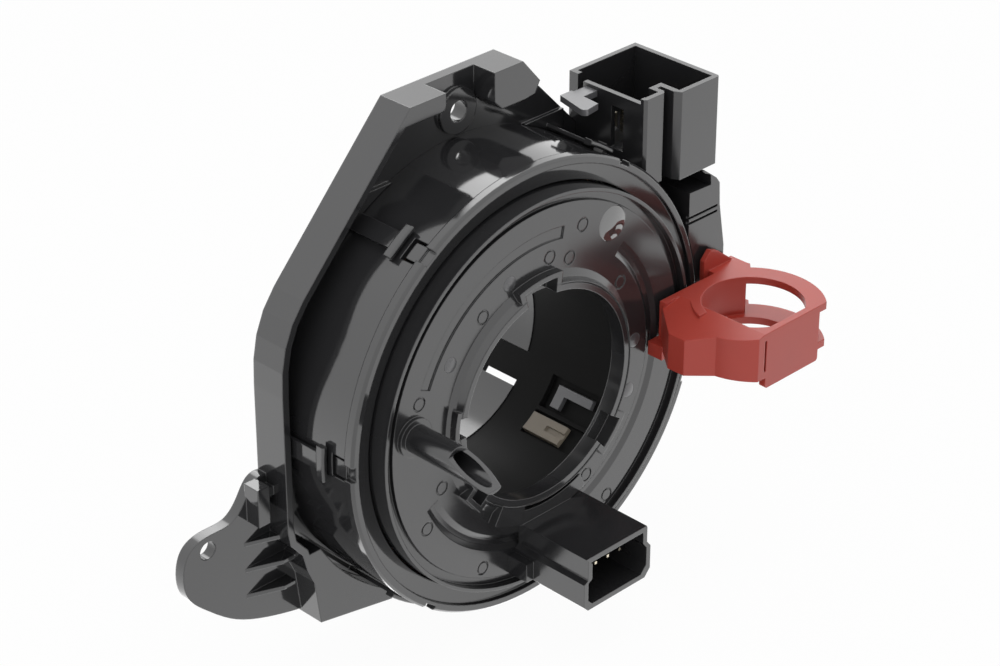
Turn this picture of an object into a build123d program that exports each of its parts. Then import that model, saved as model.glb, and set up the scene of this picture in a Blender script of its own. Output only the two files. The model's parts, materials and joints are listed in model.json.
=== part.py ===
from build123d import *
import os
from math import cos, sin, radians

# Steering clock spring: a fixed drum on a tray-shaped bracket, with a rotor that turns in it and
# a flat cable wound between the two. Millimetres, +Z up. The origin is on the drum's axis, at
# the bracket's rear mounting face. The axis is Y, and the side towards the driver is -Y.
# A depth is a distance in front of the mounting face, so it is -Y.
# An angle is counted about the axis from +X towards +Z, in degrees.

# Clearances
running_gap = 0.4
fit_gap = 0.1
lock_gap = 0.5

# Cuts start and end this far outside the solid, and the long ones reach past the whole part
past = 1.0
far = 90.0

# Bracket tray
plate_thickness = 2.5
rim_depth = 8.5
rim_wall = 1.6
apex_top = 63.5
apex_left = -18.0
apex_right = 13.0
tray_left_margin = 3.7
ledge_height = 1.0
ledge_top = 46.0
tray_floor_margin = 3.0
rim_hollow_margin = 2.1
top_hole_radius = 2.3
top_hole_place = (-0.2, 55.3)
top_boss_radius = 5.0
pad_inset = 1.0
pad_width = 8.6
pad_round = 2.4
pad_drop = 3.8
lug_left = 5.0
lug_bottom = 55.0
rim_foot = -25.6

# Mounting ear
ear_hole_radius = 2.0
ear_hole_place = (-68.9, -17.6)
gusset_heights = (-20.6, -26.8, -33.0)
gusset_thickness = 0.9
gusset_reach = 7.8
gusset_rise = 3.0
pillar_width = 3.0
pillar_from_tray = 5.4
pillar_heights = (-15.4, -6.8)
pillar_front = 6.2

# Drum
drum_radius = 49.5
drum_wall = 1.5
drum_floor = 1.5
drum_depth = 24.5
window_depth = 4.0
latch_angles = (58, 125, 179, 233, 287, 341)
latch_half_angle = 4.3
window_half_angle = 2.9
latch_bar = 2.0
latch_height = 1.9
latch_leg_half_angle = 2.3
latch_leg_drop = 0.5
latch_clear = 0.6
latch_bar_round = 0.5

# Front ring
ring_overhang = 0.5
ring_width = 5.6
ring_thickness = 2.3
ring_step = 1.0
ring_flat = 1.8
ring_slope = 0.4
spigot_wall = 1.5
spigot_length = 2.2
ring_edge = 0.5
tab_margin = 0.7
notch_margin = 0.3

# Rotor face
lip_width = 0.8
lip_proud = 2.9
lip_groove_width = 1.9
lip_groove_depth = 0.9
skirt_wall = 1.4
face_proud = 2.0
face_thickness = 1.6
valley_from_edge = 10.6
valley_half_width = 1.7
valley_depth = 0.7
valley_angles = (-156, 47)
back_rib_from_edge = 9.0
back_rib_half_width = 3.6
back_rib_rear = 1.3
collar_radius = 24.6
collar_proud = 4.0
collar_fillet = 2.2
bore_radius = 23.0
rotor_skirt = 2.2
lip_draft = 0.1
step_angles = (79.5, 157)
step_from_edge = (10.5, 7.8)
step_depth = 0.35
collar_block_angles = (-121, -104.5)
collar_block_radius = 29.0
mark_radius = 1.6
mark_depth = 0.25
mark_line = 0.35
mark_places = (
    (-8.9, 28.3),
    (-16.3, 23.7),
    (-25.3, 16.6),
    (2.4, 30.0),
    (8.1, 27.8),
    (11.8, 33.9),
    (23.3, 16.5),
    (28.1, 0.8),
    (26.6, -10.7),
    (14.0, -26.1),
    (20.5, -34.1),
    (-27.9, -10.6),
    (-32.1, -18.4),
    (-16.6, -35.2),
    (-33.8, 11.2),
)

# Notches in the collar: first angle, last angle, outer radius
collar_notches = ((84, 104, 26.3), (169, 180, 24.9), (-49, -34, 26.5))
key_angle = -141
key_width = 6.2
key_reach = 27.3
key_wall = 1.1

# Hollow peg
peg_place = (-35.5, 4.7)
peg_radius = 3.0
peg_bore = 2.0
peg_length = 12.5
peg_tip = 9.9
peg_base_radius = 4.2
peg_foot = 0.5
peg_base_height = 0.9

# Hub and rear collar
hub_radius = 24.8
hub_inner_radius = 23.2
rear_collar_length = 8.6
rear_collar_wall = 1.7
rear_flange_radius = 28.0
rear_flange_inset = 0.2
hook_angles = (-35, 85, 205)
hook_span = (-4.5, 11.5)
hook_window = (-8.0, 12.0)
hook_window_edge = 1.0
hook_end_gap = 0.3
hook_bead = 1.4
index_window = (-63, -28)
index_window_rear = 10.5

# Pale parts in the hub's window: angles from the window's first edge
index_skin = 0.5
slider_angles = (2, 13)
slider_slot_angles = (6, 9)
slider_front = 20.5
slider_slot_rear = 15.5
slider_slot_depth = 0.6
rail_angles = (14.5, 17)
arm_angles = (19, 31.5)
arm_rear = 13.2
arm_length = 2.4
arm_front = 23.0
upright_angle = 5

# Flat cable
cable_turns = 8
cable_start_radius = 25.7
cable_end_gap = 2.1
cable_thickness = 0.3
cable_start_angle = -70
film_thickness = 0.25
film_gap = 0.3
block_height = 2.3
block_angle = 24
block_from_cable = 1

# Carriers of the conductors
rotor_frame_thickness = 1.2
rotor_frame_inset = 3.0
rotor_frame_rise = 2.6
stator_frame_angle = 42
stator_frame_width = 11.0
stator_frame_margin = 6.5
stator_frame_rear = 9.0
stator_frame_thickness = 2.4

# Rotor plug
plug_left = -7.3
plug_right = 12.6
plug_top = -28.5
plug_bottom = -41.2
plug_mouth = 46.5
plug_wall = 1.2
plug_floor = 32.0
plug_rail_top = -34.5
plug_neck = 1.1
plug_pins = 4
plug_pin_pitch = 3.6
pin_size = 0.64
plug_pin_tip = 42.0
plug_root_side = 1.6
plug_root_rise = 1.4

# Stator socket
socket_left = 34.9
socket_right = 55.0
socket_top = 52.0
socket_bottom = 32.0
socket_back = 0.4
socket_front = 24.3
socket_step = 2.6
socket_panel_left = 43.3
socket_wall = 1.2
socket_floor = 38.0
socket_groove_left = 41.2
socket_groove_depth = 3.2
socket_window_depth = (12.4, 15.8)
socket_window_height = (38.5, 48.0)
socket_slot_depth = (2.9, 4.4)
socket_low_edge = 1.2
socket_pins = 6
socket_pin_pitch = 2.2
socket_pin_top = 43.0
socket_pin_rows = (8.0, 15.0)
pin_foot = 1.5

# Pale tongue beside the socket
tongue_low = 48.6
tongue_high = 50.0
tongue_round = 1.0
tongue_stem_depth = (5.2, 8.4)

# Bracket beside the socket
side_block_front = 24.1
side_block_rear = 2.5
side_block_bottom = 3.0
side_recess_depth = 9.0
side_grooves = (20.0, 21.3)
side_groove_width = 0.6
side_groove_depth = 0.8

# Transport lock
lock_top = 8.3
lock_wall = 1.6
lock_bottom = -2.2
lock_web_top = 6.1
lock_rear = 27.9
lock_front = 52.9
lock_ring_place = (47.75, 42.0)
lock_ring_radius = 15.3
lock_hole_radius = 10.9
lock_hole_left = 38.9
lock_low_hole_radius = 9.4
lock_hoop_wall = 2.2
lock_left = 28.2
lock_plate_left = 39.5
lock_plate_right = 56.4
lock_plate_drop = 2.6
lock_travel_face = drum_depth + lock_gap + 0.1
lock_tooth_width = 3.4
lock_tooth_drop = 1.8
lock_tooth_rear = 26.9
lock_heel_left = 51.5
lock_heel_right = 60.0
lock_heel_bottom = 4.5
lock_edge_step = 0.4

# Radial plane: first coordinate the radius, second the depth
radial_plane = Plane(origin=(0, 0, 0), x_dir=(1, 0, 0), z_dir=(0, 0, -1))


def block(sketch, rear, front):
    """Solid over a sketch in x and z, from one depth to another."""
    return extrude(Plane.XZ.offset(rear) * sketch, amount=front - rear)


def slab(sketch, low, high):
    """Solid over a sketch in x and depth, from one height to another."""
    return extrude(Plane.XY.offset(low) * mirror(sketch, about=Plane.XZ), amount=high - low)


def outline(*points):
    """Closed flat shape through corner points."""
    return make_face(Polyline(*points, close=True))


def box_shape(left, right, low, high):
    """Rectangle between four limits."""
    return Pos((left + right) / 2, (low + high) / 2) * Rectangle(right - left, high - low)


def turned(*points):
    """Ring turned about the drum's axis from (radius, depth) points of its section."""
    return revolve(radial_plane * outline(*points), Axis.Y)


def washer(outer, inner, rear, front):
    """Flat ring between two depths."""
    return block(Circle(outer) - Circle(inner), rear, front)


def disc(radius, rear, front):
    """Round solid about the drum's axis between two depths."""
    return block(Circle(radius), rear, front)


def at(radius, angle):
    """Point at a radius and an angle about the axis."""
    return (radius * cos(radians(angle)), radius * sin(radians(angle)))


def sector(inner, outer, first, last):
    """Flat part of a ring between two angles."""
    sweep = last - first
    outside = CenterArc((0, 0), outer, first, sweep)
    inside = CenterArc((0, 0), inner, first, sweep)
    return make_face([outside, Line(outside @ 1, inside @ 1), inside, Line(inside @ 0, outside @ 0)])


def arc_block(inner, outer, first, last, rear, front):
    """Solid part of a ring between two angles and two depths."""
    return block(sector(inner, outer, first, last), rear, front)


# Radii that follow from the drum's
tray_left = -drum_radius - tray_left_margin
tray_floor_radius = drum_radius + tray_floor_margin
rim_hollow_radius = drum_radius + rim_hollow_margin
drum_inner_radius = drum_radius - drum_wall
ring_radius = drum_radius + ring_overhang
ring_inner_radius = ring_radius - ring_width
rotor_radius = ring_inner_radius - running_gap
valley_radius = rotor_radius - valley_from_edge
back_rib_radius = rotor_radius - back_rib_from_edge
cable_end_radius = drum_inner_radius - cable_end_gap
stator_frame_reach = drum_radius + stator_frame_margin

# Depths that follow from the sizes above
floor_front = plate_thickness + drum_floor
wall_top = drum_depth - ring_thickness
face = drum_depth + face_proud
lip_front = drum_depth + lip_proud
collar_front = drum_depth + collar_proud
rib_rear = drum_depth - back_rib_rear
face_rear = face - face_thickness
hub_front = face_rear - fit_gap
front_film_rear = rib_rear - film_gap - film_thickness
rotor_frame_rear = front_film_rear - rotor_frame_thickness
cable_rear = floor_front + film_thickness + film_gap
cable_front = rotor_frame_rear - film_gap
spigot_radius = drum_inner_radius - fit_gap
spigot_rear = wall_top - spigot_length
base_hole_radius = hub_radius + running_gap
bracket_hole_radius = rear_flange_radius + running_gap
hub_rear = plate_thickness - running_gap + fit_gap
latch_bar_rear = wall_top - window_depth - latch_bar - latch_clear
plug_middle = (plug_left + plug_right) / 2


# Bracket
def tray_shape():
    """Outer outline of the bracket's tray, without the ear."""
    top = outline(
        (apex_left, apex_top),
        (apex_right, apex_top),
        (17.8, 57.9),
        (23.7, 52.7),
        (socket_left - fit_gap, 41.0),
        (socket_left - fit_gap, socket_bottom - 1.0),
        (53.0, 25.0),
        (58.5, 12.0),
        (58.5, side_block_bottom),
        (30.0, -42.0),
        (0.0, -50.0),
        (-26.2, -47.1),
        (-45.4, -43.5),
        (-46.8, -33.0),
        (-48.4, -29.5),
        (-49.6, -25.1),
        (-52.6, -21.5),
        (tray_left, -18.0),
        (tray_left, 13.0),
        (-53.0, 18.5),
        (-52.0, 23.6),
        (-50.0, 28.3),
        (-47.0, 32.4),
    )
    return top + Circle(tray_floor_radius)


def rim_cutout():
    """Inside of the tray's raised rim, open at the top between the pad and the lug."""
    left = offset(tray_shape(), -rim_wall) & box_shape(-far, far, rim_foot, far)
    pad_right = apex_left + pad_inset + pad_width
    pocket = box_shape(pad_right, lug_left, drum_radius, far)
    right = outline(
        (lug_left, far),
        (lug_left, lug_bottom),
        (-20.0, 30.0),
        (-20.0, -far),
        (far, -far),
        (far, far),
    )
    return left + pocket + right + Circle(rim_hollow_radius)


def latch_tongue(angle):
    """Tongue that rises from the tray beside the drum and ends in a cross bar."""
    inner = drum_radius + latch_clear
    outer = drum_radius + latch_height
    half = latch_half_angle
    leg = latch_leg_half_angle
    bar = arc_block(inner, outer, angle - half, angle + half, latch_bar_rear, latch_bar_rear + latch_bar)
    bar = fillet(bar.edges().filter_by(GeomType.CIRCLE).group_by(Axis.Y)[0], latch_bar_round)
    low_side = outer - latch_leg_drop
    root = plate_thickness / 2
    return bar + arc_block(inner, low_side, angle - leg, angle + leg, root, latch_bar_rear + latch_bar / 2)


def ear_shape():
    """Rounded outline of the mounting ear."""
    edge = Spline(
        (-51.0, -7.4),
        (-57.4, -8.0),
        (-59.4, -11.0),
        (-62.4, -13.8),
        (-68.6, -14.3),
        (-73.4, -16.0),
        (-75.3, -20.5),
        (-74.4, -26.4),
        (-70.4, -31.0),
        (-63.0, -36.9),
        (-55.2, -40.3),
        (-45.6, -42.8),
    )
    inside = (-44.0, -20.0)
    return make_face([edge, Line(edge @ 1, inside), Line(inside, edge @ 0)])


def ear_part():
    """Ear plate with its gussets, its pillar and its edge lip."""
    ear = block(ear_shape(), 0, plate_thickness)
    root = tray_left + 4.0
    buried = plate_thickness - 0.5
    gusset_front = plate_thickness + gusset_rise
    for height in gusset_heights:
        side = outline(
            (root, buried),
            (root, gusset_front),
            (tray_left + 1.0, gusset_front),
            (tray_left - gusset_reach, buried),
        )
        ear += slab(side, height - gusset_thickness / 2, height + gusset_thickness / 2)
    pillar_left = tray_left - pillar_from_tray
    pillar = box_shape(pillar_left, pillar_left + pillar_width, *pillar_heights)
    ear += block(pillar, buried, pillar_front)
    web = box_shape(pillar_left + pillar_width - 0.5, tray_left + 2.0, -10.6, -8.6)
    ear += block(web, buried, pillar_front - 1.5)
    ear -= block(Pos(*ear_hole_place) * Circle(ear_hole_radius), -past, rim_depth)
    return ear


def top_details():
    """Pad, lug, boss and ledges at the tray's top."""
    root = plate_thickness / 2
    pad_left = apex_left + pad_inset
    pad_right = pad_left + pad_width
    pad = outline(
        (pad_left, apex_top),
        (pad_right, apex_top),
        (pad_right, apex_top - pad_drop),
        (apex_left - rim_wall, apex_top - pad_drop),
        (apex_left - rim_wall, apex_top - rim_wall),
    )
    pad = block(pad & tray_shape(), root, rim_depth)
    details = fillet(pad.edges().filter_by(Axis.Y).sort_by(Axis.X)[-2:], pad_round / 2)
    lug = outline(
        (lug_left, apex_top),
        (apex_right, apex_top),
        (17.8, 57.9),
        (16.4, lug_bottom + 0.4),
        (13.6, lug_bottom),
        (lug_left + 2.0, lug_bottom),
        (lug_left, lug_bottom + 2.0),
    )
    details += block(lug, root, rim_depth)
    raised = plate_thickness + ledge_height
    ledge = box_shape(-36.0, 30.0, 36.0, ledge_top) & tray_shape()
    details += block(ledge, root, raised)
    details += block(Pos(*top_hole_place) * Circle(top_boss_radius), root, raised)
    return details


def base_bracket():
    """Bracket in one moulding: tray, rim, ear and the drum's latch tongues."""
    bracket = block(tray_shape(), 0, plate_thickness)
    bracket += block(tray_shape() - rim_cutout(), plate_thickness, rim_depth)
    bracket += top_details()
    bracket += ear_part()
    seat = drum_radius + fit_gap
    bracket -= disc(seat, plate_thickness, drum_depth)
    bracket -= disc(bracket_hole_radius, -past, drum_depth)
    bracket -= block(Pos(*top_hole_place) * Circle(top_hole_radius), -past, rim_depth + past)
    core = outline((-44.0, -35.0), (-43.6, -42.0), (-30.0, -44.6), (-37.5, -38.8), (-42.0, -34.0))
    bracket -= block(core, -past, rim_depth - rim_wall)
    socket_body = box_shape(socket_left, far, socket_bottom - fit_gap, far)
    bracket -= block(socket_body, -past, rim_depth + past)
    for angle in latch_angles:
        bracket += latch_tongue(angle)
    return bracket


# Drum
def drum_housing():
    """Cup that holds the cable, with windows for the ring's tabs."""
    drum = washer(drum_radius, base_hole_radius, plate_thickness, floor_front)
    drum += washer(drum_radius, drum_inner_radius, plate_thickness, wall_top)
    half = window_half_angle
    inner = drum_inner_radius - past
    outer = drum_radius + past
    low = wall_top - window_depth
    for angle in latch_angles:
        drum -= arc_block(inner, outer, angle - half, angle + half, low, wall_top + past)
    drum -= frame_slot(fit_gap)
    return drum


def front_ring():
    """Cover ring with a stepped, sloping face, a spigot and snap tabs."""
    rear = wall_top
    step = drum_depth - ring_step
    lip_rear = rear - 1.0
    inner = spigot_radius - spigot_wall
    ring = turned(
        (ring_radius, rear),
        (ring_radius, drum_depth - ring_edge),
        (ring_radius - ring_edge, drum_depth),
        (ring_radius - ring_flat, drum_depth),
        (ring_radius - ring_flat - lip_draft, step),
        (ring_inner_radius, step - ring_slope),
        (ring_inner_radius, lip_rear),
        (inner, lip_rear),
        (inner, spigot_rear),
        (spigot_radius, spigot_rear),
        (spigot_radius, rear),
    )
    half = window_half_angle - tab_margin
    tab_rear = wall_top - window_depth + 0.8
    notch = half - notch_margin
    front = drum_depth + past
    for angle in latch_angles:
        ring += arc_block(spigot_radius - 0.5, drum_radius - 0.2, angle - half, angle + half, tab_rear, rear)
        ring -= arc_block(drum_radius - 0.6, ring_radius + past, angle - notch, angle + notch, rear, front)
    return ring


# Rotor
def rotor_section():
    """Section of the rotor's face as a closed chain of (radius, depth) points."""
    lip_inner = rotor_radius - lip_width
    groove_inner = lip_inner - lip_groove_width
    groove_bottom = face - lip_groove_depth
    skirt_inner = rotor_radius - skirt_wall
    half = back_rib_half_width
    edge = 0.3
    slant = 1.0
    return (
        (rotor_radius, drum_depth - rotor_skirt),
        (rotor_radius, lip_front),
        (lip_inner, lip_front),
        (lip_inner, groove_bottom),
        (groove_inner, groove_bottom),
        (groove_inner - lip_draft, face),
        (collar_radius + collar_fillet, face),
        (collar_radius + collar_fillet / 3, face + collar_fillet / 3),
        (collar_radius, face + collar_fillet),
        (collar_radius, collar_front - edge),
        (collar_radius - edge, collar_front),
        (bore_radius, collar_front),
        (bore_radius, face_rear - fit_gap),
        (hub_radius + 2 * slant, face_rear),
        (back_rib_radius - half, face_rear),
        (back_rib_radius - half + slant, rib_rear),
        (back_rib_radius + half - slant, rib_rear),
        (back_rib_radius + half, face_rear),
        (skirt_inner, face_rear),
        (skirt_inner, drum_depth - rotor_skirt),
    )


def face_valley():
    """Shallow valley that runs part of the way round the rotor's face."""
    half = valley_half_width
    bottom = face - valley_depth
    front = face + past
    valley = turned(
        (valley_radius - half, front),
        (valley_radius - half, face),
        (valley_radius - half / 3, bottom),
        (valley_radius + half / 3, bottom),
        (valley_radius + half, face),
        (valley_radius + half, front),
    )
    inner = valley_radius - half - past
    outer = valley_radius + half + past
    return valley & arc_block(inner, outer, *valley_angles, bottom - past, front + past)


def turned_square(angle, width, inner, outer):
    """Rectangle that lies along a radius."""
    return Rot(0, 0, angle) * box_shape(inner, outer, -width / 2, width / 2)


def peg():
    """Hollow peg on the rotor's face, cut to a half-round point."""
    x, z = peg_place
    shaft_end = face + peg_length
    tip_end = shaft_end + peg_tip
    foot = face_rear - peg_foot
    body = block(Pos(x, z) * Circle(peg_radius), foot, tip_end)
    body += block(Pos(x, z) * Circle(peg_base_radius), foot, face + peg_base_height)
    body -= block(Pos(x, z) * Circle(peg_bore), face, tip_end + past)
    outside = peg_radius + past
    side = outline(
        (shaft_end, outside),
        (shaft_end, peg_radius * 0.5),
        (tip_end - 1.5, -peg_radius * 0.6),
        (tip_end + past, -peg_radius * 0.9),
        (tip_end + past, outside),
    )
    cut_plane = Plane(origin=(x, 0, z), x_dir=(0, -1, 0), z_dir=(-1, 0, 0))
    return body - extrude(cut_plane * side, amount=outside, both=True)


def plug_opening(gap):
    """Opening in the rotor's face for the plug's root."""
    left = plug_left + plug_root_side - gap
    right = plug_right - plug_root_side + gap
    low = plug_bottom + plug_root_rise - gap
    return box_shape(left, right, low, plug_top - 1.0 + gap)


def rotor_disc():
    """Rotor's face in one moulding, with its lip, collar, marks and peg."""
    face_plate = turned(*rotor_section())
    face_plate -= face_valley()
    step_inner = rotor_radius - step_from_edge[0]
    step_outer = rotor_radius - step_from_edge[1]
    face_plate -= arc_block(step_inner, step_outer, *step_angles, face - step_depth, face + past)
    block_inner = collar_radius - 0.4
    face_plate += arc_block(block_inner, collar_block_radius, *collar_block_angles, face_rear, collar_front)
    for x, z in mark_places:
        spot = Pos(x, z) * (Circle(mark_radius) - Circle(mark_radius - mark_line))
        face_plate -= block(spot, face - mark_depth, face + past)
    inner = bore_radius - past
    notch_rear = face - 1.0
    front = collar_front + past
    for first, last, radius in collar_notches:
        wall_outer = radius + key_wall
        face_plate += arc_block(block_inner, wall_outer, first - 3, last + 3, face_rear, collar_front)
        face_plate -= arc_block(inner, radius, first, last, notch_rear, front)
    key = turned_square(key_angle, key_width, bore_radius + 0.6, key_reach)
    face_plate += block(key, face_rear, collar_front)
    inner_key = turned_square(key_angle, key_width - 2 * key_wall, inner, key_reach - key_wall)
    face_plate -= block(inner_key, notch_rear, front)
    face_plate += peg()
    face_plate -= block(plug_opening(fit_gap), rib_rear - past, front)
    face_plate -= disc(bore_radius, rib_rear - past, front)
    return face_plate


def cable_hub():
    """Tube inside the drum that the cable winds on, with hooks for the rear collar."""
    hub = washer(hub_radius, hub_inner_radius, hub_rear, hub_front)
    first, last = index_window
    inner = hub_inner_radius - past
    pocket_radius = hub_radius - index_skin
    hub -= arc_block(inner, pocket_radius, first, last, index_window_rear, hub_front + past)
    low = hook_window_edge + hook_end_gap - rear_collar_length
    for angle in hook_angles:
        first, last = angle + hook_span[0], angle + hook_span[1]
        hub += arc_block(hub_inner_radius, hub_radius - 0.3, first, last, low, hub_rear)
        hub += arc_block(hub_inner_radius, hub_radius + 0.4, first, last, low, low + hook_bead)
    return hub


def rear_collar():
    """Collar that clips on the hub's hooks, with a flange in the bracket's hole, behind the drum."""
    rear = -rear_collar_length
    outer = bore_radius + rear_collar_wall
    front = hub_rear - fit_gap
    collar = washer(outer, bore_radius, rear, front)
    collar += washer(rear_flange_radius, outer - 0.5, rear_flange_inset, front)
    inner = bore_radius - past
    low = rear + hook_window_edge
    for angle in hook_angles:
        first, last = angle + hook_window[0], angle + hook_window[1]
        collar -= arc_block(inner, outer + 0.9, first, last, low, hub_rear + past)
    return collar


def index_arc(angles, outer, rear, front):
    """Arc block just inside the bore, between two angles from the window's first edge."""
    first = index_window[0]
    return arc_block(bore_radius, outer, first + angles[0], first + angles[1], rear, front)


def index_slider():
    """Pale block that shows in the window of the hub."""
    slider = index_arc(slider_angles, hub_radius - index_skin, index_window_rear, slider_front)
    slot_front = slider_front + past
    slot_depth = bore_radius + slider_slot_depth
    return slider - index_arc(slider_slot_angles, slot_depth, slider_slot_rear, slot_front)


def index_rail():
    """Rail beside the pale block."""
    return index_arc(rail_angles, hub_radius - index_skin, index_window_rear, hub_front)


def index_bracket():
    """Small L-shaped bracket in the window of the hub."""
    last = arm_angles[1]
    outer = hub_radius - index_skin
    arm = index_arc(arm_angles, outer, arm_rear, arm_rear + arm_length)
    return arm + index_arc((last - upright_angle, last), outer, arm_rear, arm_front)


# Cable
def spiral_edges(offset):
    """Half turns of the cable's spiral as arcs, shifted outwards by an offset."""
    halves = 2 * cable_turns
    pitch = (cable_end_radius - cable_thickness - cable_start_radius) / halves
    arcs = []
    start = cable_start_angle
    middle = (0.0, 0.0)
    radius = cable_start_radius
    for half in range(halves):
        arcs.append(CenterArc(middle, radius + offset, start, 180))
        back = at(pitch, start)
        middle = (middle[0] + back[0], middle[1] + back[1])
        radius += pitch
        start += 180
    return arcs


def flat_cable():
    """Ribbon wound in one spiral from the hub to the drum's wall."""
    inside = spiral_edges(0)
    outside = spiral_edges(cable_thickness)
    ends = [Line(inside[0] @ 0, outside[0] @ 0), Line(inside[-1] @ 1, outside[-1] @ 1)]
    return block(make_face(inside + outside + ends), cable_rear, cable_front)


def slip_film(inner, outer, rear):
    """Thin slippery sheet beside the cable's edge."""
    return washer(outer, inner, rear, rear + film_thickness)


def front_film():
    """Slip sheet behind the rotor's face, cut out round the contact carrier."""
    film = slip_film(hub_radius + 1.0, rotor_radius - skirt_wall - 1.0, front_film_rear)
    return film - block(rotor_frame_shape(0.5), front_film_rear - past, front_film_rear + past)


def rotor_cable_block():
    """Block on the hub that clamps the cable's inner end."""
    last = cable_start_angle - block_from_cable
    return arc_block(hub_radius, hub_radius + block_height, last - block_angle, last, cable_rear, cable_front)


def rotor_frame_shape(gap):
    """Outline of the contact carrier behind the plug."""
    left = plug_left + rotor_frame_inset - gap
    right = plug_right - rotor_frame_inset + gap
    return box_shape(left, right, plug_bottom + rotor_frame_rise - gap, -hub_radius - fit_gap + gap)


def rotor_contact_carrier():
    """Carrier of the conductors between the cable's inner end and the plug."""
    carrier = block(rotor_frame_shape(0), rotor_frame_rear, rib_rear - fit_gap)
    return carrier - disc(hub_radius + fit_gap, 0, drum_depth)


def stator_cable_block():
    """Block at the drum's wall that clamps the cable's outer end."""
    first = cable_start_angle + 360 * cable_turns + block_from_cable
    inner = cable_end_radius - block_height
    return arc_block(inner, drum_inner_radius, first, first + block_angle, cable_rear, spigot_rear - fit_gap)


# Socket on the stator
def frame_slot(gap):
    """Way of the stator's conductors through the drum's wall, outwards to the socket."""
    angle = stator_frame_angle
    inner = drum_inner_radius - 2 * gap
    shape = turned_square(angle, stator_frame_width + 2 * gap, inner, stator_frame_reach)
    return block(shape, stator_frame_rear - gap, stator_frame_rear + stator_frame_thickness + gap)


def stator_contact_carrier():
    """Carrier of the conductors between the cable's outer end and the socket."""
    return frame_slot(0) & washer(far, drum_inner_radius, 0, drum_depth)


def side_bracket():
    """Bracket beside the drum, below the socket."""
    shape = outline(
        (47.0, 31.4),
        (51.4, 31.4),
        (55.4, 28.3),
        (56.5, 26.8),
        (56.8, 21.5),
        (58.6, 11.2),
        (58.6, side_block_bottom),
        (47.0, side_block_bottom),
    )
    part = block(shape, side_block_rear, side_block_front)
    recess = outline((44.0, 27.6), (53.7, 27.2), (53.5, 29.7), (51.6, 30.6), (49.0, 33.0), (40.0, 33.0))
    front = side_block_front + past
    part -= block(recess, side_block_front - side_recess_depth, front)
    for low in side_grooves:
        groove = box_shape(40.0, 56.0, low, low + side_groove_width)
        part -= block(groove, side_block_front - side_groove_depth, front)
    return part


def stator_connector():
    """Open-topped socket with its side bracket, in one moulding."""
    front = drum_depth - socket_step
    shape = outline(
        (socket_left, socket_back),
        (socket_left, front - 0.6),
        (socket_left + 0.6, front),
        (socket_groove_left - 0.8, front),
        (socket_groove_left, front - 0.8),
        (socket_groove_left, front - socket_groove_depth + 0.5),
        (socket_groove_left + 1.2, front - socket_groove_depth + 0.5),
        (socket_groove_left + 1.2, front + 0.8),
        (socket_panel_left, socket_front),
        (socket_right - 0.5, socket_front),
        (socket_right, socket_front - 0.5),
        (socket_right, socket_back),
    )
    shell = slab(shape, socket_bottom, socket_top)
    wall = socket_wall
    inside = outline(
        (socket_left + wall, socket_back + wall),
        (socket_left + wall, front - wall),
        (socket_groove_left - wall, front - wall),
        (socket_groove_left - wall, front - socket_groove_depth - wall + 0.5),
        (socket_panel_left + 0.4, front - socket_groove_depth - wall + 0.5),
        (socket_panel_left + 0.4, socket_front - wall),
        (socket_right - wall, socket_front - wall),
        (socket_right - wall, socket_back + wall),
    )
    shell -= slab(inside, socket_floor, socket_top + past)
    outside = socket_left - past
    inner = socket_left + wall
    above = socket_top + past
    low_wall = box_shape(outside, inner, socket_slot_depth[1], front - 1.4)
    shell -= slab(low_wall, socket_top - socket_low_edge, above)
    shell -= slab(box_shape(outside, inner, *socket_slot_depth), socket_floor + 6.0, above)
    shell -= slab(box_shape(outside, inner, *socket_window_depth), *socket_window_height)
    shell += side_bracket()
    link = outline((46.0, 31.0), (50.5, 31.0), (50.5, 34.0), (42.0, 36.0))
    shell += block(link, side_block_rear, 12.0)
    shell -= disc(drum_radius + fit_gap, -past, wall_top + fit_gap)
    shell -= disc(ring_radius + fit_gap, wall_top - fit_gap, drum_depth + past)
    half = latch_half_angle + latch_clear
    reach = drum_radius + latch_height + fit_gap
    for angle in latch_angles:
        shell -= arc_block(drum_radius - past, reach, angle - half, angle + half, 0, drum_depth)
    for x, y in socket_pin_places():
        shell -= Pos(x, y, socket_floor) * Box(pin_size, pin_size, socket_floor - socket_bottom)
    return shell - frame_slot(0)


def socket_pin_places():
    """Feet of the socket's pins, in two rows."""
    middle = (socket_left + socket_right) / 2 + 1.5
    span = (socket_pins - 1) * socket_pin_pitch
    places = []
    for row_depth in socket_pin_rows:
        for index in range(socket_pins):
            x = middle - span / 2 + index * socket_pin_pitch
            places.append((x, -row_depth))
    return places


def stator_terminals():
    """Pins in the socket."""
    low = socket_floor - pin_foot
    height = socket_pin_top - low
    pin = Pos(0, 0, low + height / 2) * Box(pin_size, pin_size, height)
    return Compound([Pos(x, y, 0) * pin for x, y in socket_pin_places()])


def connector_lock_tab():
    """Pale tongue that holds the mating connector, beside the socket."""
    side = outline((27.8, 4.6), (31.2, 4.6), (30.4, 12.9), (25.6, 13.6))
    stem = box_shape(29.0, socket_left, *tongue_stem_depth)
    tongue = slab(side + stem, tongue_low, tongue_high)
    return fillet(tongue.edges().filter_by(Axis.Z).group_by(Axis.Y)[0], tongue_round)


# Plug on the rotor
def plug_shape(inset):
    """Outline of the plug's shroud, narrower above its side rails."""
    left = plug_left + inset
    right = plug_right - inset
    neck = plug_neck
    top = plug_top - inset
    low = plug_bottom + inset
    rail = plug_rail_top
    return outline(
        (left + 0.5, top),
        (right - neck - 0.2, top),
        (right - neck, top - 0.5),
        (right - neck, rail + 2.0),
        (right, rail + 0.6),
        (right, low + 1.8),
        (right - 1.6, low),
        (left + 1.2, low),
        (left, low + 1.2),
        (left, rail),
        (left + neck, rail + 0.6),
        (left + neck, top - 0.5),
    )


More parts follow.
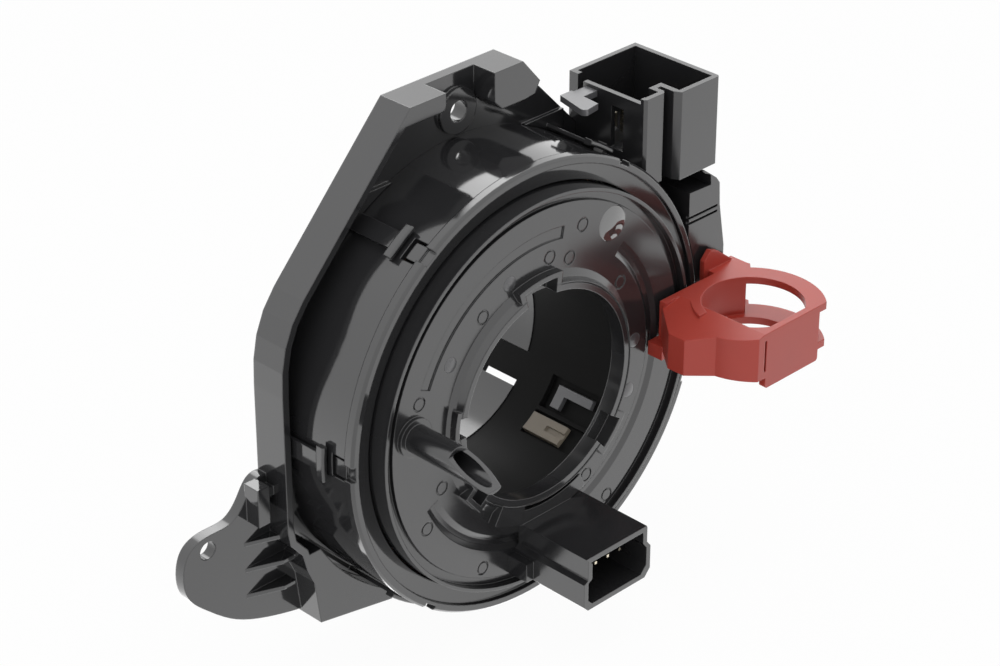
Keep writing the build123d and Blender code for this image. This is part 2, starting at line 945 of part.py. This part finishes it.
def plug_pin_places():
    """Centres of the plug's pins in one row."""
    span = (plug_pins - 1) * plug_pin_pitch
    height = (plug_top + plug_bottom) / 2
    return [(plug_middle - span / 2 + index * plug_pin_pitch, height) for index in range(plug_pins)]


def rotor_connector():
    """Plug shroud that stands on the rotor's face."""
    shroud = block(plug_shape(0), face, plug_mouth)
    shroud -= block(plug_shape(plug_wall), plug_floor, plug_mouth + past)
    low = plug_bottom + plug_root_rise
    root = box_shape(plug_left - 2.0, plug_left + 4.0, low, plug_rail_top - 1.0)
    shroud += block(root, face, face + 5.5)
    shroud += block(plug_opening(0), rib_rear, face)
    side = plug_right - plug_neck
    latch = outline((side, plug_top - 3.3), (plug_right + 0.9, plug_top - 3.3), (side, plug_top - 1.7))
    shroud += block(latch, plug_mouth - 9.0, plug_mouth - 6.5)
    neck_ring = sector(collar_radius + 1.0, 29.5, -104, -66)
    shroud += block(neck_ring, face, collar_front - 0.4)
    shroud -= disc(collar_radius + fit_gap, 0, plug_mouth)
    fillet_radius = collar_radius + collar_fillet + fit_gap
    shroud -= turned(
        (collar_radius, face - past),
        (fillet_radius, face - past),
        (fillet_radius, face + fit_gap),
        (collar_radius + collar_fillet / 3 + 0.2, face + collar_fillet),
        (collar_radius, collar_front),
    )
    for x, z in plug_pin_places():
        shroud -= block(Pos(x, z) * Rectangle(pin_size, pin_size), rib_rear - past, plug_mouth)
    return shroud


def rotor_terminals():
    """Pins in the plug."""
    pin = block(Rectangle(pin_size, pin_size), rib_rear, plug_pin_tip)
    return Compound([Pos(x, 0, z) * pin for x, z in plug_pin_places()])


# Transport lock
def lock_plan():
    """Outline of the lock seen from above."""
    x, depth = lock_ring_place
    web = outline(
        (lock_left + 6.5, lock_rear),
        (lock_left, lock_rear + 8.0),
        (lock_left, lock_rear + 12.4),
        (lock_plate_left, lock_front - 1.0),
        (lock_plate_left + 1.0, lock_front - 0.2),
        (lock_plate_right - 1.5, lock_front - 0.2),
        (x, depth),
        (60.2, lock_rear + 2.5),
        (59.6, lock_rear),
    )
    limits = box_shape(lock_left, far, lock_rear, lock_front)
    return (web + Pos(x, depth) * Circle(lock_ring_radius)) & limits


def lock_hole(radius):
    """Finger hole, flat on its left side."""
    x, depth = lock_ring_place
    return Pos(x, depth) * Circle(radius) & box_shape(lock_hole_left, far, 0, far)


def transport_lock():
    """Pull-out lock with a finger ring, a tooth over the rotor and a foot at the side bracket."""
    wall = lock_wall
    ring = slab(lock_plan() - lock_hole(lock_hole_radius), lock_top - wall, lock_top)
    web_side = box_shape(0, lock_hole_left, 0, far)
    ring -= slab(web_side, lock_web_top - 2, lock_top + past)
    slope = outline(
        (lock_hole_left, lock_top),
        (lock_left, lock_web_top),
        (lock_left, lock_web_top - wall),
        (lock_hole_left, lock_top - wall),
    )
    web_shape = lock_plan() & web_side
    ring += block(slope, lock_rear, lock_front) & slab(web_shape, lock_bottom, lock_top)
    low = slab(lock_plan() - lock_hole(lock_low_hole_radius), lock_bottom, lock_bottom + wall)
    edge_wall = web_shape - offset(lock_plan(), -wall)
    below_slope = outline(
        (lock_left - past, lock_bottom),
        (lock_hole_left, lock_bottom),
        (lock_hole_left, lock_top - lock_edge_step),
        (lock_left - past, lock_web_top - lock_edge_step),
    )
    sides = slab(edge_wall, lock_bottom, lock_top) & block(below_slope, lock_rear, lock_front)
    wall_left = lock_left + 6.0
    wall_front = lock_rear + wall
    rear_wall = slab(box_shape(wall_left, lock_heel_left, lock_rear, wall_front), lock_bottom, lock_top)
    x, depth = lock_ring_place
    curl = Pos(x, depth) * (Circle(lock_hole_radius + lock_hoop_wall) - Circle(lock_hole_radius))
    hoop = slab(curl & box_shape(30.0, 55.0, 0, depth - 4), lock_bottom, lock_top)
    plate = box_shape(lock_plate_left, lock_plate_right, lock_bottom - lock_plate_drop, lock_top)
    front = block(plate, lock_front - wall, lock_front)
    front = fillet(front.edges().filter_by(Axis.Y), 0.7)
    low_edge = lock_heel_bottom
    foot = outline(
        (50.0, low_edge),
        (49.9, 10.9),
        (51.9, 13.0),
        (54.4, 12.0),
        (lock_heel_right, 7.6),
        (lock_heel_right, low_edge),
    )
    heel = block(foot, lock_travel_face, lock_travel_face + 1.2)
    heel_shape = box_shape(lock_heel_left, lock_heel_right, low_edge, lock_top)
    heel += block(heel_shape, lock_travel_face, wall_front)
    tooth_left = lock_left + 3.8
    tooth_right = tooth_left + lock_tooth_width
    tooth_shape = box_shape(tooth_left, tooth_right, lock_bottom - lock_tooth_drop, lock_bottom + 1.4)
    tooth = block(tooth_shape, lock_tooth_rear, lock_rear + 3)
    return ring + low + sides + rear_wall + hoop + front + heel + tooth


nodes = {
    "base_bracket": base_bracket(),
    "drum_housing": drum_housing(),
    "front_ring": front_ring(),
    "rotor_disc": rotor_disc(),
    "cable_hub": cable_hub(),
    "rear_collar": rear_collar(),
    "index_slider": index_slider(),
    "index_rail": index_rail(),
    "index_bracket": index_bracket(),
    "flat_cable": flat_cable(),
    "rear_slip_film": slip_film(base_hole_radius + 1.0, spigot_radius - 0.5, floor_front),
    "front_slip_film": front_film(),
    "rotor_cable_block": rotor_cable_block(),
    "rotor_contact_carrier": rotor_contact_carrier(),
    "rotor_connector": rotor_connector(),
    "rotor_terminals": rotor_terminals(),
    "stator_cable_block": stator_cable_block(),
    "stator_contact_carrier": stator_contact_carrier(),
    "stator_connector": stator_connector(),
    "stator_terminals": stator_terminals(),
    "connector_lock_tab": connector_lock_tab(),
    "transport_lock": transport_lock(),
}

os.makedirs("parts", exist_ok=True)
for name, shape in nodes.items():
    export_step(shape, "parts/" + name + ".step")
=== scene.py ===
import json
import math

import bmesh
import bpy
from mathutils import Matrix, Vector


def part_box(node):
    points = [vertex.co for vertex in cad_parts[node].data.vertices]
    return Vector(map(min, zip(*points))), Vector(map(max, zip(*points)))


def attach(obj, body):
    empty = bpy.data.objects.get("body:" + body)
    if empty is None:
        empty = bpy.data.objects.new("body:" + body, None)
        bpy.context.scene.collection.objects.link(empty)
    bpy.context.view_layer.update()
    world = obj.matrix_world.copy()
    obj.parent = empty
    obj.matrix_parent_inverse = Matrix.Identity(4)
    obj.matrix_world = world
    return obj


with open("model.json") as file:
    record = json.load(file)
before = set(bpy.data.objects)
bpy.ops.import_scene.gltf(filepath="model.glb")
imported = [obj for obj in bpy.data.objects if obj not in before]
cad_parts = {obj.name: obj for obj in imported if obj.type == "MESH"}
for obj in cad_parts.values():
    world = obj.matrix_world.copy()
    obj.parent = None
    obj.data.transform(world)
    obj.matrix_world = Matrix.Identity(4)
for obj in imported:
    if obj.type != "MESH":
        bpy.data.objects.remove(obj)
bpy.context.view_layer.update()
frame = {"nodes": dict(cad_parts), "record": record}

# Looks of the steering clock spring. Metres, in the part's own frame: the axis is Y, the driver's
# side is -Y and +Z is up.
MM = 0.001

# Camera
CAMERA_PLACE = (-0.3647, -0.3796, 0.3009)
CAMERA_TILT = 60.5
CAMERA_TURN = -45.0
CAMERA_LENS = 104.4
SENSOR_WIDTH = 36.0

# Studio: strength 1 is white, and more only shows in what the glossy plastic mirrors
FLOOR_GAP = 1.5 * MM
FLOOR_SIZE = 6.0
FLOOR_GLOW = 0.96
FLOOR_GRAIN = 6.0
FLOOR_DARK = (0.86, 0.86, 0.86)
FLOOR_PALE = (0.9, 0.9, 0.9)
MIRRORED_LOW = 2.1
MIRRORED_HIGH = 2.6
FILL_LIGHT = 0.55

# Box high at the back that shows only in reflections: its direction, the cosines of the angles from
# it where the light starts and is full, and its strength
BACK_BOX_TOWARDS = (0.41, 0.61, 0.67)
BACK_BOX_EDGE = (0.945, 0.975)
BACK_BOX_GLINT = 4.5

# Soft boxes, turned to the target: name, place, width, height, power
BOX_TARGET = (0.0, -0.02, 0.01)
SOFT_BOXES = (
    ("left_box", (-0.9, -0.15, 0.35), 0.9, 1.0, 2.5),
    ("top_box", (0.1, -0.1, 0.95), 0.8, 0.8, 3.0),
)

# Finishes: base colour, sheen, roughness, how far the roughness varies, grain, bump, edge radius
FINISHES = {
    "black": ((0.018, 0.018, 0.019), 0.5, 0.09, 0.04, 260.0, 0.02, 0.35 * MM),
    "black_rotor": ((0.016, 0.016, 0.017), 0.5, 0.17, 0.07, 320.0, 0.03, 0.25 * MM),
    "black_matte": ((0.008, 0.008, 0.008), 0.06, 0.55, 0.10, 420.0, 0.05, 0.20 * MM),
    "black_connector": ((0.017, 0.017, 0.018), 0.5, 0.16, 0.06, 420.0, 0.04, 0.20 * MM),
    "beige": ((0.22, 0.19, 0.15), 0.5, 0.45, 0.10, 500.0, 0.05, 0.15 * MM),
    "grey": ((0.10, 0.10, 0.105), 0.5, 0.30, 0.08, 500.0, 0.05, 0.20 * MM),
    "carrier": ((0.05, 0.05, 0.05), 0.5, 0.50, 0.10, 500.0, 0.05, 0.20 * MM),
}
MATTE_NODES = ("cable_hub", "index_rail")
LIGHTER = 1.5
BROAD = 8
GRAIN_DETAIL = 4.0
BUMP_REACH = 0.1 * MM
EDGE_SAMPLES = 6

# Red plastic
RED_DARK = (0.33, 0.036, 0.024)
RED_LIGHT = (0.41, 0.050, 0.034)
RED_SHEEN = 0.35
RED_GLOW = 0.15
RED_SCATTER = (2.0, 0.5, 0.4)
RED_SCATTER_REACH = 1.0 * MM
RED_ROUGH = (0.36, 0.48)
RED_GRAIN = 60.0
RED_BUMP_GRAIN = 500.0
RED_BUMP = 0.06
RED_EDGE = 0.3 * MM

# Slip sheets, cable and pins
FILM_COLOUR = (0.80, 0.80, 0.78)
FILM_PALER = (0.92, 0.92, 0.897)
FILM_GRAIN = 90.0
FILM_ROUGH = (0.25, 0.4)
RIBBON_FILM = (0.20, 0.11, 0.04)
RIBBON_COPPER = (0.42, 0.20, 0.10)
RIBBON_TRACKS = 6
RIBBON_GRAIN = 200.0
RIBBON_ROUGH = (0.25, 0.4)
TIN_COLOUR = (0.62, 0.56, 0.44)
TIN_DARKER = (0.496, 0.448, 0.352)
TIN_GRAIN = 400.0
TIN_ROUGH = (0.2, 0.35)

# Domes on the rotor's face, which lies this far in front of the frame's origin
FACE_DEPTH = 26.5 * MM
DOME_SINK = 0.15 * MM
DOME_RINGS = 10
DOME_SIDES = 64

# Polished spot, at x and z
SPOT_PLACE = (20.6 * MM, 31.0 * MM)
SPOT_RADIUS = 3.9 * MM
SPOT_RISE = 0.45 * MM
SPOT_SHEEN = 1.0
SPOT_DARK = (0.03, 0.03, 0.03)
SPOT_LIGHT = (0.05, 0.05, 0.05)
SPOT_GRAIN = 300.0
SPOT_ROUGH = (0.02, 0.05)

# Raised marks painted pale as a highlight on their bumps, each at x and z in millimetres
RAISED_MARKS = ((-8.9, 28.3), (-25.3, 16.6), (28.1, 0.8), (26.6, -10.7))
RAISED_RADIUS = 1.65 * MM
RAISED_RISE = 0.22 * MM
RAISED_DARK = (0.05, 0.05, 0.052)
RAISED_LIGHT = (0.075, 0.075, 0.08)
RAISED_GRAIN = 500.0
RAISED_ROUGH = (0.22, 0.34)


def node(tree, kind, **values):
    """New shader node with its properties set."""
    made = tree.nodes.new(kind)
    for name, value in values.items():
        setattr(made, name, value)
    return made


def new_material(name):
    """Empty node material with its principled shader."""
    material = bpy.data.materials.new(name)
    material.use_nodes = True
    tree = material.node_tree
    return material, tree, tree.nodes["Principled BSDF"]


def grain(tree, scale):
    """Noise in the part's own frame."""
    place = node(tree, "ShaderNodeNewGeometry")
    noise = node(tree, "ShaderNodeTexNoise")
    noise.inputs["Scale"].default_value = scale
    noise.inputs["Detail"].default_value = GRAIN_DETAIL
    tree.links.new(place.outputs["Position"], noise.inputs["Vector"])
    return noise.outputs["Fac"]


def between(tree, factor, low, high):
    """Value that runs from low to high with a factor."""
    span = node(tree, "ShaderNodeMapRange")
    span.inputs["To Min"].default_value = low
    span.inputs["To Max"].default_value = high
    tree.links.new(factor, span.inputs["Value"])
    return span.outputs["Result"]


def colour_between(tree, factor, low, high):
    """Colour that runs from one to another with a factor."""
    mix = node(tree, "ShaderNodeMix", data_type="RGBA")
    mix.inputs[6].default_value = (*low, 1)
    mix.inputs[7].default_value = (*high, 1)
    tree.links.new(factor, mix.inputs["Factor"])
    return mix.outputs[2]


def surface_relief(tree, shader, factor, strength, edge_radius):
    """Fine bump over softened edges."""
    edge = node(tree, "ShaderNodeBevel", samples=EDGE_SAMPLES)
    edge.inputs["Radius"].default_value = edge_radius
    bump = node(tree, "ShaderNodeBump")
    bump.inputs["Strength"].default_value = strength
    bump.inputs["Distance"].default_value = BUMP_REACH
    tree.links.new(factor, bump.inputs["Height"])
    tree.links.new(edge.outputs["Normal"], bump.inputs["Normal"])
    tree.links.new(bump.outputs["Normal"], shader.inputs["Normal"])


def varied(name, scale, low, high, rough):
    """Material whose colour and roughness run together with a broad grain."""
    material, tree, shader = new_material(name)
    broad = grain(tree, scale)
    tree.links.new(colour_between(tree, broad, low, high), shader.inputs["Base Color"])
    tree.links.new(between(tree, broad, *rough), shader.inputs["Roughness"])
    return material, tree, shader


def plastic(name):
    """Moulded plastic from its row in the finishes."""
    colour, sheen, roughness, spread, scale, bump, edge_radius = FINISHES[name]
    lighter = tuple(LIGHTER * value for value in colour)
    rough = (roughness - spread, roughness + spread)
    material, tree, shader = varied(name, scale / BROAD, colour, lighter, rough)
    shader.inputs["Specular IOR Level"].default_value = sheen
    surface_relief(tree, shader, grain(tree, scale), bump, edge_radius)
    return material


def red_plastic():
    """Soft red plastic that lets some light through."""
    material, tree, shader = varied("red", RED_GRAIN, RED_DARK, RED_LIGHT, RED_ROUGH)
    shader.inputs["Specular IOR Level"].default_value = RED_SHEEN
    shader.inputs["Subsurface Weight"].default_value = RED_GLOW
    shader.inputs["Subsurface Radius"].default_value = RED_SCATTER
    shader.inputs["Subsurface Scale"].default_value = RED_SCATTER_REACH
    surface_relief(tree, shader, grain(tree, RED_BUMP_GRAIN), RED_BUMP, RED_EDGE)
    return material


def film():
    """Slippery sheet, milky."""
    return varied("film", FILM_GRAIN, FILM_COLOUR, FILM_PALER, FILM_ROUGH)[0]


def ribbon():
    """Laminate with flat copper tracks along the cable."""
    material, tree, shader = new_material("ribbon")
    low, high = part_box("flat_cable")
    place = node(tree, "ShaderNodeNewGeometry")
    split = node(tree, "ShaderNodeSeparateXYZ")
    tree.links.new(place.outputs["Position"], split.inputs["Vector"])
    turn = node(tree, "ShaderNodeMath", operation="MULTIPLY")
    turn.inputs[1].default_value = 2 * math.pi * RIBBON_TRACKS / (high.y - low.y)
    wave = node(tree, "ShaderNodeMath", operation="SINE")
    tree.links.new(split.outputs["Y"], turn.inputs[0])
    tree.links.new(turn.outputs[0], wave.inputs[0])
    track = between(tree, wave.outputs[0], 0.0, 1.0)
    tree.links.new(colour_between(tree, track, RIBBON_FILM, RIBBON_COPPER), shader.inputs["Base Color"])
    tree.links.new(track, shader.inputs["Metallic"])
    worn = between(tree, grain(tree, RIBBON_GRAIN), *RIBBON_ROUGH)
    tree.links.new(worn, shader.inputs["Roughness"])
    return material


def tin():
    """Tin-plated pins."""
    material, tree, shader = varied("terminal", TIN_GRAIN, TIN_DARKER, TIN_COLOUR, TIN_ROUGH)
    shader.inputs["Metallic"].default_value = 1.0
    return material


def polished():
    """Very smooth black plastic that mirrors its surroundings."""
    material, tree, shader = varied("polished", SPOT_GRAIN, SPOT_DARK, SPOT_LIGHT, SPOT_ROUGH)
    shader.inputs["Specular IOR Level"].default_value = SPOT_SHEEN
    return material


def highlight_painted_black():
    """Black plastic painted slightly pale, a painted highlight on the raised marks."""
    return varied("highlight_painted_black", RAISED_GRAIN, RAISED_DARK, RAISED_LIGHT, RAISED_ROUGH)[0]


def circle_points(mesh, place, radius, front):
    """Vertices of a circle that faces along the part's axis, at a depth of its own."""
    x, z = place
    points = []
    for step in range(DOME_SIDES):
        turn = 2 * math.pi * step / DOME_SIDES
        points.append(mesh.verts.new((x + radius * math.cos(turn), front, z + radius * math.sin(turn))))
    return points


def shaped(name, mesh):
    """Smooth object from a mesh under construction."""
    data = bpy.data.meshes.new(name)
    mesh.to_mesh(data)
    mesh.free()
    data.shade_smooth()
    made = bpy.data.objects.new(name, data)
    bpy.context.scene.collection.objects.link(made)
    return made


def dome(name, place, radius, rise):
    """Shallow dome on the rotor's face, with a short wall that sinks into the face below it."""
    mesh = bmesh.new()
    tip = mesh.verts.new((place[0], -FACE_DEPTH - rise, place[1]))
    circles = []
    for ring in range(1, DOME_RINGS + 1):
        share = ring / DOME_RINGS
        front = -FACE_DEPTH - rise * (1 - share ** 2)
        circles.append(circle_points(mesh, place, radius * share, front))
    circles.append(circle_points(mesh, place, radius, DOME_SINK - FACE_DEPTH))
    for step in range(DOME_SIDES):
        mesh.faces.new((tip, circles[0][step], circles[0][(step + 1) % DOME_SIDES]))
    for near, far in zip(circles, circles[1:]):
        for step in range(DOME_SIDES):
            after = (step + 1) % DOME_SIDES
            mesh.faces.new((near[step], far[step], far[after], near[after]))
    mesh.faces.new(reversed(circles[-1]))
    bmesh.ops.recalc_face_normals(mesh, faces=mesh.faces)
    return shaped(name, mesh)


def add_dome(name, place, radius, rise, material):
    """Dome with its material that rides on the rotor."""
    piece = dome(name, place, radius, rise)
    piece.data.materials.append(material)
    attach(piece, "rotor")


def add_domes():
    """Polished spot between the rotor's collar and lip, and the discs that stand out of four marks,
    painted pale as a highlight.
    """
    add_dome("rotor_spot", SPOT_PLACE, SPOT_RADIUS, SPOT_RISE, polished())
    # Painted highlight: the raised marks' pale colour stands in for light on their bumps
    painted_highlight = highlight_painted_black()
    for number, (x, z) in enumerate(RAISED_MARKS, 1):
        add_dome(f"raised_mark_{number}", (x * MM, z * MM), RAISED_RADIUS, RAISED_RISE, painted_highlight)


def dress_frame(materials):
    """Gives every CAD node the material of its slot."""
    for part in frame["record"]["subparts"]:
        slot = "black_matte" if part["node"] in MATTE_NODES else part["material_slot"]
        mesh = frame["nodes"][part["node"]].data
        mesh.materials.clear()
        mesh.materials.append(materials[slot])


def set_camera():
    """Camera at the photo's angle."""
    data = bpy.data.cameras.new("photo_camera")
    data.lens = CAMERA_LENS
    data.sensor_width = SENSOR_WIDTH
    data.sensor_fit = "HORIZONTAL"
    camera = bpy.data.objects.new("photo_camera", data)
    camera.location = CAMERA_PLACE
    camera.rotation_euler = (math.radians(CAMERA_TILT), 0, math.radians(CAMERA_TURN))
    bpy.context.scene.collection.objects.link(camera)
    bpy.context.scene.camera = camera


def floor_material():
    """Pale floor that reads as white and keeps a soft shadow."""
    material, tree, shader = new_material("floor")
    tree.nodes.remove(shader)
    out = tree.nodes["Material Output"]
    pale = node(tree, "ShaderNodeBsdfDiffuse")
    shade = colour_between(tree, grain(tree, FLOOR_GRAIN), FLOOR_DARK, FLOOR_PALE)
    tree.links.new(shade, pale.inputs["Color"])
    glow = node(tree, "ShaderNodeEmission")
    glow.inputs["Color"].default_value = (1, 1, 1, 1)
    path = node(tree, "ShaderNodeLightPath")
    mirrored = path.outputs["Is Glossy Ray"]
    tree.links.new(between(tree, mirrored, 1.0, MIRRORED_LOW), glow.inputs["Strength"])
    share = node(tree, "ShaderNodeMath", operation="MAXIMUM")
    tree.links.new(between(tree, path.outputs["Is Camera Ray"], 0.0, FLOOR_GLOW), share.inputs[0])
    tree.links.new(mirrored, share.inputs[1])
    mix = node(tree, "ShaderNodeMixShader")
    tree.links.new(share.outputs[0], mix.inputs["Fac"])
    tree.links.new(pale.outputs[0], mix.inputs[1])
    tree.links.new(glow.outputs[0], mix.inputs[2])
    tree.links.new(mix.outputs[0], out.inputs["Surface"])
    return material


def set_floor():
    """Floor just under the part's lowest point."""
    lowest = min(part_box(name)[0].z for name in frame["nodes"])
    bpy.ops.mesh.primitive_plane_add(size=FLOOR_SIZE, location=(0, 0, lowest - FLOOR_GAP))
    floor = bpy.context.object
    floor.name = "floor"
    floor.data.materials.append(floor_material())


def pick(tree, test, otherwise, chosen):
    """Strength that is one value or socket where a ray's test is 1 and another elsewhere."""
    mix = node(tree, "ShaderNodeMix", data_type="FLOAT")
    tree.links.new(test, mix.inputs["Factor"])
    for socket, value in ((mix.inputs[2], otherwise), (mix.inputs[3], chosen)):
        if isinstance(value, float):
            socket.default_value = value
        else:
            tree.links.new(value, socket)
    return mix.outputs[0]


def mirrored_studio(tree):
    """Strength of the surroundings in reflections: brighter overhead, with a box high at the back."""
    place = node(tree, "ShaderNodeTexCoord")
    split = node(tree, "ShaderNodeSeparateXYZ")
    tree.links.new(place.outputs["Generated"], split.inputs["Vector"])
    height = between(tree, split.outputs["Z"], MIRRORED_LOW, MIRRORED_HIGH)
    nearness = node(tree, "ShaderNodeVectorMath", operation="DOT_PRODUCT")
    nearness.inputs[1].default_value = BACK_BOX_TOWARDS
    tree.links.new(place.outputs["Generated"], nearness.inputs[0])
    glint = node(tree, "ShaderNodeMapRange")
    glint.inputs["From Min"].default_value, glint.inputs["From Max"].default_value = BACK_BOX_EDGE
    glint.inputs["To Max"].default_value = BACK_BOX_GLINT
    tree.links.new(nearness.outputs["Value"], glint.inputs["Value"])
    total = node(tree, "ShaderNodeMath", operation="ADD")
    tree.links.new(height, total.inputs[0])
    tree.links.new(glint.outputs["Result"], total.inputs[1])
    return total.outputs[0]


def set_world():
    """White surroundings: plain white behind, and a studio in the reflections."""
    world = bpy.data.worlds.new("studio")
    world.use_nodes = True
    bpy.context.scene.world = world
    tree = world.node_tree
    background = tree.nodes["Background"]
    background.inputs["Color"].default_value = (1, 1, 1, 1)
    path = node(tree, "ShaderNodeLightPath")
    unseen = pick(tree, path.outputs["Is Glossy Ray"], FILL_LIGHT, mirrored_studio(tree))
    level = pick(tree, path.outputs["Is Camera Ray"], unseen, 1.0)
    tree.links.new(level, background.inputs["Strength"])


def soft_box(name, place, width, height, power):
    """Soft rectangular light that faces the part and doesn't show in reflections."""
    data = bpy.data.lights.new(name, "AREA")
    data.shape = "RECTANGLE"
    data.size = width
    data.size_y = height
    data.energy = power
    lamp = bpy.data.objects.new(name, data)
    lamp.location = place
    lamp.visible_glossy = False
    towards = Vector(BOX_TARGET) - Vector(place)
    lamp.rotation_euler = towards.to_track_quat("-Z", "Y").to_euler()
    bpy.context.scene.collection.objects.link(lamp)


bpy.context.scene.view_settings.view_transform = "Standard"
materials = {name: plastic(name) for name in FINISHES}
materials["red"] = red_plastic()
materials["film"] = film()
materials["ribbon"] = ribbon()
materials["terminal"] = tin()
dress_frame(materials)
add_domes()
set_camera()
set_world()
set_floor()
for row in SOFT_BOXES:
    soft_box(*row)
